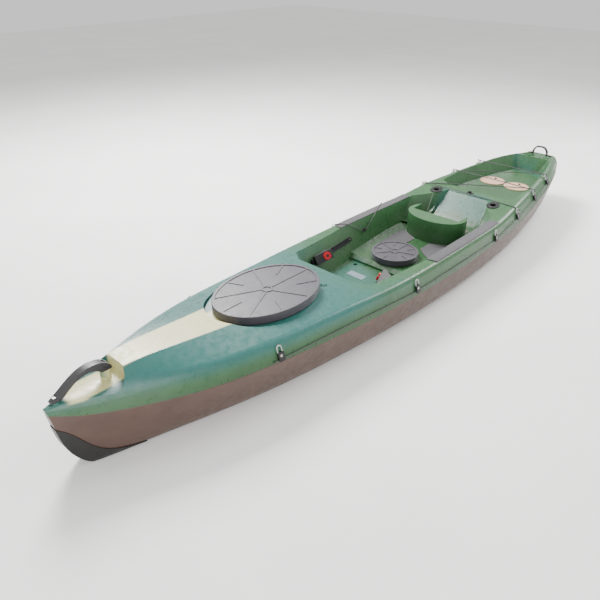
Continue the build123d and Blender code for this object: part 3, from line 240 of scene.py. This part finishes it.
@dataclass(frozen=True)
class DeckFinish(Finish):
    """Deck polyethylene in green, with painted light in its colour: blue-green painted sky reflection, a pale
    yellow painted highlight and darker painted shade low down.
    """

    # Painted light in the deck's colour: blue-green painted sky reflection, a pale yellow painted highlight
    # and darker green painted shade.
    sky_reflection_teal: str = "#2C625C"
    highlight_cream: str = "#C6C28C"
    shade_green: str = "#2A4A2A"
    drift_m: float = 0.5
    shade_green_z: tuple[float, float] = (0.31, 0.235)
    bow_sky_reflection_x: tuple[float, float] = (0.15, 0.85)
    # Rise and height of the seam between the shells, along the boat.
    seam_slope: float = 0.045
    seam_z: float = 0.205
    above_seam: tuple[float, float] = (0.005, 0.075)
    # Seat back, stern and footwell: aft end, fore end and lowest height of each patch of painted sky
    # reflection.
    patches: tuple[Point, ...] = ((-1.12, -0.76, 0.19), (-2.14, -1.95, 0.2), (0.02, 0.52, 0.0))
    patch_fade: float = 0.12
    patch_half: tuple[float, float] = (0.22, 0.16)
    # The painted highlight's edge follows the crown, whose half width tapers towards the bow.
    crown_taper: float = -0.075
    crown_half: float = 0.206
    crown_x: tuple[float, float] = (0.75, 1.45)

    def paint_sky_reflection(
        self, tree: bpy.types.NodeTree, colour: object, along: object, aside: object, place: tuple
    ) -> bpy.types.NodeSocket:
        """Paints blue-green sky reflection over the bow flanks, the seat back, the stern and the footwell.

        Args:
            tree: Node tree of the material.
            colour: Colour underneath.
            along: Socket with the uneven distance along the boat.
            aside: Socket with the distance from the middle line.
            place: Sockets with x, y and z.

        Returns:
            Socket with the colour.
        """
        x, _, z = place
        # Painted sky reflection in blue-green on the upper bow flanks, above the seam.
        sky_reflection_teal = to_linear(self.sky_reflection_teal)
        bow = ramp(tree, along, *self.bow_sky_reflection_x)
        seam = maths(tree, "MULTIPLY_ADD", x, self.seam_slope, self.seam_z)
        upper = ramp(tree, maths(tree, "SUBTRACT", z, seam), *self.above_seam)
        colour = blend_colours(tree, product(tree, bow, upper), colour, sky_reflection_teal)
        # The same painted sky reflection on the seat back, the stern and the footwell.
        for aft, fore, floor in self.patches:
            start = ramp(tree, along, aft, aft + self.patch_fade)
            end = ramp(tree, along, fore, fore - self.patch_fade)
            beside = ramp(tree, aside, *self.patch_half)
            over = ramp(tree, z, floor, floor + 0.03, (0.0, 0.6))
            colour = blend_colours(tree, product(tree, start, end, beside, over), colour, sky_reflection_teal)
        return colour

    def painted_highlight_share(
        self, tree: bpy.types.NodeTree, along: object, aside: object, place: tuple
    ) -> bpy.types.NodeSocket:
        """Finds where the painted highlight goes: the foredeck's up-facing crown and the bow recess floor.

        Args:
            tree: Node tree of the material.
            along: Socket with the uneven distance along the boat.
            aside: Socket with the distance from the middle line.
            place: Sockets with x, y and z.

        Returns:
            Socket with the painted highlight's share.
        """
        x, _, z = place
        # Painted highlight on the up-facing crown of the foredeck and on the bow recess floor.
        edge = maths(tree, "MULTIPLY_ADD", x, self.crown_taper, self.crown_half)
        within = ramp(tree, maths(tree, "SUBTRACT", edge, aside), -0.008, 0.006)
        fore = ramp(tree, along, *self.crown_x)
        behind_recess = ramp(tree, x, 2.02, 1.97)
        crown = product(tree, within, fore, behind_recess, ramp(tree, z, 0.33, 0.34))
        lengthwise = product(tree, ramp(tree, x, 1.96, 2.0), ramp(tree, x, 2.19, 2.16))
        upright = product(tree, ramp(tree, z, 0.384, 0.364), ramp(tree, z, 0.345, 0.355))
        recess = product(tree, lengthwise, upright, ramp(tree, aside, 0.072, 0.06))
        return maths(tree, "MAXIMUM", crown, recess)

    def tone(self, tree: bpy.types.NodeTree, place: bpy.types.NodeSocket) -> bpy.types.NodeSocket:
        """Green amidships and aft, with painted shade low down, blue-green painted sky reflection on the bow
        flanks and a pale yellow painted highlight on the foredeck's crown.

        Args:
            tree: Node tree of the material.
            place: Socket with the place on the deck.

        Returns:
            Socket with the colour.
        """
        x, y, z = add_node(tree, "SeparateXYZ", {0: place}).outputs
        drift = add_node(tree, "TexNoise", {"Vector": place, "Scale": 3.0, "Detail": 4.0}).outputs[0]
        # Noise makes the edges of the painted reflection, highlight and shade a little uneven.
        wander = maths(tree, "MULTIPLY_ADD", drift, self.drift_m, -self.drift_m / 2)
        along = maths(tree, "ADD", x, wander)
        aside = maths(tree, "ABSOLUTE", y)
        height = maths(tree, "ADD", z, maths(tree, "MULTIPLY", wander, 0.12))
        # Painted shade: the deck turns darker green towards the bottom.
        low = ramp(tree, height, *self.shade_green_z, (0.0, 0.8))
        green = blend_colours(tree, low, super().tone(tree, place), to_linear(self.shade_green))
        colour = self.paint_sky_reflection(tree, green, along, aside, (x, y, z))
        # Painted highlight in pale yellow laid over the deck's colour.
        highlight_cream = self.painted_highlight_share(tree, along, aside, (x, y, z))
        return blend_colours(tree, highlight_cream, colour, to_linear(self.highlight_cream))


@dataclass(frozen=True)
class BraidFinish(Finish):
    """Braided sheath of a cord; the strands cross along the cord's own UV map."""

    length: float = 1.0
    pick_mm: float = 5.0
    strands: int = 4

    def place(self, tree: bpy.types.NodeTree) -> bpy.types.NodeSocket:
        """Returns the socket with the place along and around the cord."""
        return add_node(tree, "TexCoord").outputs["UV"]

    def relief(self, tree: bpy.types.NodeTree, place: bpy.types.NodeSocket) -> bpy.types.NodeSocket:
        """Crosses two sets of slanting strands.

        Args:
            tree: Node tree of the material.
            place: Socket with the place along and around the cord.

        Returns:
            Socket with the height, from 0 to 1.
        """
        picks = self.length * 1000 / self.pick_mm
        sets = []
        for turn in (1, -1):
            links = {"Vector": place, "Scale": (picks, turn * self.strands, 0.0)}
            slant = add_node(tree, "Mapping", links).outputs[0]
            wave = add_node(tree, "TexWave", {"Vector": slant, "Scale": BAND}, bands_direction="DIAGONAL")
            sets.append(wave.outputs["Fac"])
        return maths(tree, "MAXIMUM", *sets)

    def tone(self, tree: bpy.types.NodeTree, place: bpy.types.NodeSocket) -> bpy.types.NodeSocket:
        """Paints shade into the gaps between strands and returns the colour's socket."""
        height = self.relief(tree, place)
        # Painted shade: the gaps between strands darken to the second colour.
        strand = ramp(tree, height, 0.5, 0.95)
        return blend_colours(tree, strand, to_linear(self.shade), to_linear(self.colour))


# Rotomoulded polyethylene: satin, with a faint orange peel about 6 mm across; its colour holds painted light.
DECK = DeckFinish("deck_polyethylene_rotomoulded", "#375F3A", "#325836", 0.33, 1.51, grain_mm=6,
                  depth_mm=0.03)
# Same plastic on the hull in one dull brown, rougher from sand and ramps.
HULL = Finish("hull_polyethylene_rotomoulded", "#503B31", "#4A362D", 0.38, 1.51, grain_mm=6,
              depth_mm=0.04)
# Black polyethylene skid guard, dulled by launching.
GUARD = Finish("guard_polyethylene_moulded", "#0C0B09", "#12100E", 0.45, 1.51, grain_mm=5,
               depth_mm=0.15)
# Soft thermoplastic rubber lids: chalky grey-purple bloom, fine leathery grain.
LID = Finish("lid_soft_rubber_moulded", "#3B373E", "#343038", 0.42, 1.5, grain=Grain.LEATHERY,
             grain_mm=2.2, depth_mm=0.08, blotch_mm=60, sheen=0.1)
# Black nitrile seal, dead matt.
SEAL = Finish("seal_nitrile_rubber", "#151515", "#1E1E1E", 0.7, 1.52, grain_mm=1.5, depth_mm=0.05)
# Cross-linked EVA deck pads: closed cells, drawn at 1.8 mm so that they show.
PAD = Finish("pad_eva_foam", "#2B282D", "#262328", 0.85, 1.45, grain=Grain.CELLS, grain_mm=1.8,
             depth_mm=0.35, blotch_mm=40, sheen=0.25)
# Brown-grey EVA of the seat, the same foam.
SEAT = Finish("seat_eva_foam", "#3C332B", "#352D26", 0.85, 1.45, grain=Grain.CELLS, grain_mm=1.8,
              depth_mm=0.35, blotch_mm=40, sheen=0.25)
# White polyethylene buoyancy foam, coarse beads.
BUOYANCY = Finish("buoyancy_polyethylene_foam", "#E4E2DA", "#D6D3C9", 0.9, 1.5, grain=Grain.CELLS,
                  grain_mm=4, depth_mm=0.4)
# Red acetal lock rings: hard, glossy, injection moulded.
RED = Finish("lock_acetal_moulded", "#C4101F", "#B00D1B", 0.28, 1.48, grain_mm=1.2, depth_mm=0.02,
             blotch_mm=15)
# Glass-filled nylon fittings: black with a fine spark-eroded grain.
NYLON = Finish("fitting_nylon_moulded", "#0D0D0E", "#141415", 0.36, 1.53, grain=Grain.LEATHERY,
               grain_mm=1.0, depth_mm=0.04, blotch_mm=25)
# Over-moulded rubber of handles and treads.
GRIP = Finish("handle_rubber_overmoulded", "#141216", "#1B181D", 0.38, 1.52, grain=Grain.LEATHERY,
              grain_mm=1.4, depth_mm=0.06, blotch_mm=30, sheen=0.1)
# Black anodised aluminium rails, drawn lengthwise.
RAIL = Finish("rail_aluminium_anodised", "#17181A", "#222325", 0.38, metallic=0.6, grain=Grain.BRUSHED,
              grain_mm=0.8, depth_mm=0.02, blotch_mm=30)
# Satin aluminium plate with a cool cast.
PLATE = Finish("plate_aluminium_satin", "#B7C8D2", "#A3B5C1", 0.32, metallic=1.0, grain=Grain.BRUSHED,
               grain_mm=0.8, depth_mm=0.02, blotch_mm=30)
# Stainless screw heads, turned bright.
STEEL = Finish("screw_stainless_turned", "#C9C8C4", "#B4B2AE", 0.25, metallic=1.0, grain=Grain.BRUSHED,
               grain_mm=0.4, depth_mm=0.01, blotch_mm=6)
# Tan pressed fibre discs, matt with fine speckle.
DISC = Finish("disc_pressed_fibre", "#C7A58A", "#B59479", 0.65, 1.5, grain=Grain.CELLS, grain_mm=2.0,
              depth_mm=0.12, blotch_mm=14)
# Grey polyester loops, read on the piece's own place because the loops stay CAD tubes.
LOOP = Finish("loop_polyester_braided", "#B4B7B2", "#8E928D", 0.6, 1.5, grain=Grain.LEATHERY,
              grain_mm=2.0, depth_mm=0.3, blotch_mm=4, sheen=0.3)

SLOT_FINISH = {
    "black_plastic": NYLON,
    "deck_plastic": DECK,
    "disc_plastic": DISC,
    "foam_block": BUOYANCY,
    "guard_plastic": GUARD,
    "handle_rubber": GRIP,
    "hull_plastic": HULL,
    "lid_plastic": LID,
    "loop_cord": LOOP,
    "plate_metal": PLATE,
    "rail_metal": RAIL,
    "red_plastic": RED,
    "screw_steel": STEEL,
    "seal_rubber": SEAL,
}


def slot_of(node: str) -> str:
    """Returns the record's material slot of a CAD node."""
    return next(row["material_slot"] for row in frame["record"]["subparts"] if row["node"] == node)


def body_of(node: str) -> str:
    """Returns the CAD body that a node rides on."""
    bodies = frame["record"]["behaviour"]["bodies"]
    return next(body for body, nodes in bodies.items() if node in nodes)


@dataclass
class Mouldings:
    """Every CAD piece that keeps its shape, dressed in its slot's finish."""

    def build(self, replaced: set[str]) -> None:
        """Dresses the kept CAD nodes.

        Args:
            replaced: Nodes that another piece stands for.
        """
        made = {slot: finish.make() for slot, finish in SLOT_FINISH.items()}
        for node, piece in frame["nodes"].items():
            if node in replaced:
                continue
            piece.data.materials.clear()
            piece.data.materials.append(made[slot_of(node)])
            log.info("dressed %s", node)


@dataclass
class FoamPad:
    """A foam pad: the CAD pad's space with soft edges and, on the seat, a crowned top."""

    node: str
    finish: Finish
    voxel_mm: float = 1.8
    crown_mm: float = 0.0
    soften: int = 3

    def build(self) -> None:
        mesh = frame["nodes"][self.node].data.copy()
        shape = bmesh.new()
        shape.from_mesh(mesh)
        bmesh.ops.remove_doubles(shape, verts=shape.verts, dist=0.00002)
        bmesh.ops.recalc_face_normals(shape, faces=shape.faces)
        shape.to_mesh(mesh)
        shape.free()
        mesh.materials.clear()
        piece = bpy.data.objects.new(self.node + "_foam", mesh)
        bpy.context.scene.collection.objects.link(piece)
        remesh = piece.modifiers.new("remesh", "REMESH")
        remesh.mode = "VOXEL"
        remesh.voxel_size = self.voxel_mm * MM
        remesh.use_smooth_shade = True
        bpy.context.view_layer.update()
        graph = bpy.context.evaluated_depsgraph_get()
        piece.data = bpy.data.meshes.new_from_object(piece.evaluated_get(graph))
        piece.modifiers.clear()
        self.round_off(piece.data)
        piece.data.materials.clear()
        piece.data.materials.append(self.finish.make())
        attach(piece, body_of(self.node))
        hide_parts(self.node)
        log.info("built %s", piece.name)

    def round_off(self, mesh: bpy.types.Mesh) -> None:
        """Smooths the rim and lifts the crown.

        Args:
            mesh: The remeshed pad, changed in place.
        """
        shape = bmesh.new()
        shape.from_mesh(mesh)
        for _ in range(self.soften):
            bmesh.ops.smooth_vert(
                shape, verts=shape.verts, factor=0.5, use_axis_x=True, use_axis_y=True, use_axis_z=True
            )
        low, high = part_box(self.node)
        middle, half = (low + high) / 2, (high - low) / 2
        for vert in shape.verts:
            across = ((vert.co.x - middle.x) / half.x, (vert.co.y - middle.y) / half.y)
            rise = max(0.0, 1 - across[0] ** 2) * max(0.0, 1 - across[1] ** 2)
            vert.co.z += self.crown_mm * MM * (rise - 0.8) * max(0.0, (vert.co.z - low.z) / (high.z - low.z))
        for face in shape.faces:
            face.smooth = True
        shape.to_mesh(mesh)
        shape.free()


def tube(name: str, points: list[Point], radius: float, material: bpy.types.Material) -> bpy.types.Object:
    """Makes a smooth cord along control points.

    Args:
        name: Name of the piece.
        points: Control points in metres.
        radius: Radius of the cord in metres.
        material: Its finish.

    Returns:
        The curve's object.
    """
    data = bpy.data.curves.new(name, "CURVE")
    data.dimensions = "3D"
    spline = data.splines.new("NURBS")
    spline.points.add(len(points) - 1)
    for spot, point in zip(spline.points, points):
        spot.co = (*point, 1.0)
    spline.order_u = 3
    spline.use_endpoint_u = True
    spline.use_smooth = True
    data.resolution_u = 10
    data.bevel_depth = radius
    data.bevel_resolution = 3
    data.use_fill_caps = True
    data.materials.append(material)
    piece = bpy.data.objects.new(name, data)
    bpy.context.scene.collection.objects.link(piece)
    return piece


@dataclass
class HeldCord:
    """A cord held by the boat along its way, with a stopper knot at each end."""

    node: str
    radius: float
    route: list[Point]
    finish: BraidFinish
    knot_turns: float = 1.75
    steps: int = 9

    def knot(self, end: Vector, away: Vector, index: int, material: bpy.types.Material) -> None:
        """Wraps the cord round its own end.

        Args:
            end: Last point of the cord.
            away: Direction in which the cord leaves the boat there.
            index: Number of the knot.
            material: The cord's finish.
        """
        side = away.orthogonal().normalized()
        up = away.cross(side)
        points = []
        for step in range(self.steps):
            share = step / (self.steps - 1)
            angle = share * self.knot_turns * 2 * math.pi
            reach = self.radius * 1.05
            along = (share - 0.5) * self.radius * 2.0
            spot = end + away * along + (side * math.cos(angle) + up * math.sin(angle)) * reach
            points.append(tuple(spot))
        piece = tube(f"{self.node}_knot_{index}", points, self.radius * 0.95, material)
        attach(piece, body_of(self.node))

    def build(self) -> None:
        """Makes the cord and its two knots."""
        material = self.finish.make()
        piece = tube(self.node + "_cord", self.route, self.radius, material)
        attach(piece, body_of(self.node))
        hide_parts(self.node)
        ends = [Vector(p) for p in (self.route[0], self.route[1], self.route[-2], self.route[-1])]
        self.knot(ends[0], (ends[0] - ends[1]).normalized(), 1, material)
        self.knot(ends[3], (ends[3] - ends[2]).normalized(), 2, material)
        log.info("built %s", piece.name)


def millimetres(*points: Point) -> list[Point]:
    """Returns points given in millimetres in metres."""
    return [(x * MM, y * MM, z * MM) for x, y, z in points]


# Port grab line, bow to stern, through the holes of the pad eyes.
GRAB_LINE = millimetres(
    (1326, 351.7, 256.9), (1262, 358, 259.3), (940, 384.7, 250), (600, 411.8, 238.9),
    (275, 432.6, 225.5), (231, 433.7, 225.8), (-60, 437.5, 227.7), (-370, 436.4, 227.4),
    (-658, 431.8, 225.4), (-702, 430.7, 225.2), (-860, 420, 248.4), (-1008, 408.3, 266.6),
    (-1052, 405.6, 265.7), (-1210, 386, 282.8), (-1364, 365, 294.5), (-1408, 360.9, 292.5),
    (-1546, 336.7, 308.9), (-1684, 312.4, 318.9), (-1750, 304.3, 314.2),
)
# Zigzag over the rear well, through each loop and back over the loop's bar.
REAR_BUNGEE = millimetres(
    (-1034, 403.7, 325.3), (-1034, 384.8, 318.9), (-1034, 372.7, 332.7), (-1033, 356.2, 340.7),
    (-1025, -356.6, 347.2), (-1027, -392.6, 340.6), (-1035, -396.4, 325.0), (-1034, -384.8, 318.9),
    (-1034, -372.7, 332.7), (-1033, -356.2, 340.7), (-1380, 304.1, 368.5), (-1383, 340.6, 365.9),
    (-1391, 345.8, 350.7), (-1389, 335.0, 343.3), (-1389, 321.4, 355.7), (-1387, 304.2, 361.9),
    (-1380, -304.1, 368.5), (-1383, -340.6, 365.9), (-1391, -345.8, 350.7), (-1389, -335.0, 343.3),
    (-1389, -321.4, 355.7), (-1387, -304.2, 361.9), (-1699, 246.0, 388.3), (-1704, 282.4, 388.1),
    (-1711, 288.4, 373.1), (-1710, 278.2, 365.1), (-1709, 263.8, 376.5), (-1707, 246.2, 381.5),
    (-1709, -263.8, 376.5), (-1710, -278.2, 365.1), (-1710, -295.7, 374.8),
)
# Paddle keeper: from an eye on the starboard side, over the pad, round the hook and back.
PADDLE_KEEPER = millimetres(
    (25, -428, 250.4), (25, -415.9, 290.7), (21, -404, 316), (-27, -333, 321.5), (-46, -318.5, 314),
    (-180.4, -292, 231.5), (-185.6, -292, 231.5), (-335, -318.5, 315), (-354, -333, 322),
    (-524, -406.5, 315.5), (-530, -415.2, 290.7), (-530, -425.9, 250.1),
)


@dataclass
class Rigging:
    """All the cords that the boat holds."""

    line_radius: float = 2.5 * MM
    bungee_radius: float = 3.0 * MM

    def build(self) -> set[str]:
        """Makes the four cords and returns the CAD nodes that they stand for."""
        # Each braid's second colour is painted shade in the gaps between strands.
        line = BraidFinish("line_polyester_braided", "#1E1F20", "#0B0B0C", 0.6, length=3.09,
                           blotch_mm=10, depth_mm=0.3, sheen=0.3)
        stretch = BraidFinish("elastic_polyester_braided", "#202122", "#0B0B0C", 0.55, length=3.69,
                              blotch_mm=10, depth_mm=0.3, sheen=0.3)
        keeper = BraidFinish("keeper_polyester_braided", "#202122", "#0B0B0C", 0.55, length=0.79,
                             blotch_mm=10, depth_mm=0.3, sheen=0.3)
        starboard = [(x, -y, z) for x, y, z in GRAB_LINE]
        cords = [
            HeldCord("grab_line_port", self.line_radius, GRAB_LINE, line),
            HeldCord("grab_line_starboard", self.line_radius, starboard, line),
            HeldCord("rear_bungee", self.bungee_radius, REAR_BUNGEE, stretch),
            HeldCord("paddle_keeper_bungee", self.line_radius, PADDLE_KEEPER, keeper),
        ]
        for cord in cords:
            cord.build()
        return {cord.node for cord in cords}


@dataclass
class Pads:
    """The foam pads of the gunwales, the cockpit floor and the seat."""

    seat_crown_mm: float = 3.0

    def build(self) -> set[str]:
        """Makes the pads and returns the CAD nodes that they stand for."""
        sides = ("port", "starboard")
        pads = [FoamPad(f"{place}_pad_{side}", PAD) for place in ("gunwale", "floor") for side in sides]
        pads.append(FoamPad("seat_pad", SEAT, voxel_mm=2.0, crown_mm=self.seat_crown_mm, soften=6))
        for pad in pads:
            pad.build()
        return {pad.node for pad in pads}


@dataclass
class Studio:
    """Pale floor, soft light and the camera."""

    camera_at: Point = (2.925, 2.005, 1.956)
    yaw_deg: float = 223.06
    pitch_deg: float = 30.63
    lens_mm: float = 36.62
    floor_half: float = 14.0

    def floor(self) -> None:
        """Lays a pale, very slightly mottled floor."""
        shape = bmesh.new()
        bmesh.ops.create_grid(shape, x_segments=8, y_segments=8, size=self.floor_half)
        mesh = bpy.data.meshes.new("floor")
        shape.to_mesh(mesh)
        shape.free()
        piece = bpy.data.objects.new("floor", mesh)
        bpy.context.scene.collection.objects.link(piece)
        # Painted board: almost white, fully matt.
        finish = Finish("floor_painted_board", "#F6F6F4", "#F2F2F0", 0.9, 1.45, grain_mm=20,
                        depth_mm=0.02, blotch_mm=800)
        mesh.materials.append(finish.make())

    def lamp(self, name: str, at: Point, size: float, watts: float) -> None:
        """Hangs one square soft light aimed at the boat.

        Args:
            name: Name of the light.
            at: Its place.
            size: Side of the square in metres.
            watts: Its power.
        """
        data = bpy.data.lights.new(name, "AREA")
        data.size = size
        data.energy = watts
        lamp = bpy.data.objects.new(name, data)
        lamp.location = at
        lamp.rotation_mode = "QUATERNION"
        lamp.rotation_quaternion = (Vector((0.3, 0, 0.2)) - Vector(at)).to_track_quat("-Z", "Y")
        bpy.context.scene.collection.objects.link(lamp)

    def build(self) -> None:
        """Sets up floor, lights, world and camera."""
        self.floor()
        self.lamp("key", (-0.6, -3.6, 4.4), 2.2, 760)
        self.lamp("fill", (4.5, 4.5, 3.0), 4.0, 260)
        self.lamp("back", (-4.5, 1.0, 3.6), 2.5, 260)
        world = bpy.data.worlds.new("studio")
        world.use_nodes = True
        world.node_tree.nodes["Background"].inputs[0].default_value = (1, 1, 1, 1)
        world.node_tree.nodes["Background"].inputs[1].default_value = 0.9
        bpy.context.scene.world = world
        yaw, pitch = math.radians(self.yaw_deg), math.radians(self.pitch_deg)
        ahead = Vector((math.cos(yaw) * math.cos(pitch), math.sin(yaw) * math.cos(pitch), -math.sin(pitch)))
        data = bpy.data.cameras.new("camera")
        data.sensor_width = 36.0
        data.lens = self.lens_mm
        camera = bpy.data.objects.new("camera", data)
        camera.location = self.camera_at
        camera.rotation_mode = "QUATERNION"
        camera.rotation_quaternion = ahead.to_track_quat("-Z", "Y")
        bpy.context.scene.collection.objects.link(camera)
        bpy.context.scene.camera = camera


def main() -> None:
    """Builds the studio, the cords, the pads and the dressed mouldings, in that order."""
    logging.basicConfig(level=logging.INFO)
    Studio().build()
    replaced = Rigging().build()
    replaced |= Pads().build()
    Mouldings().build(replaced)


if __name__ == "__main__":
    main()
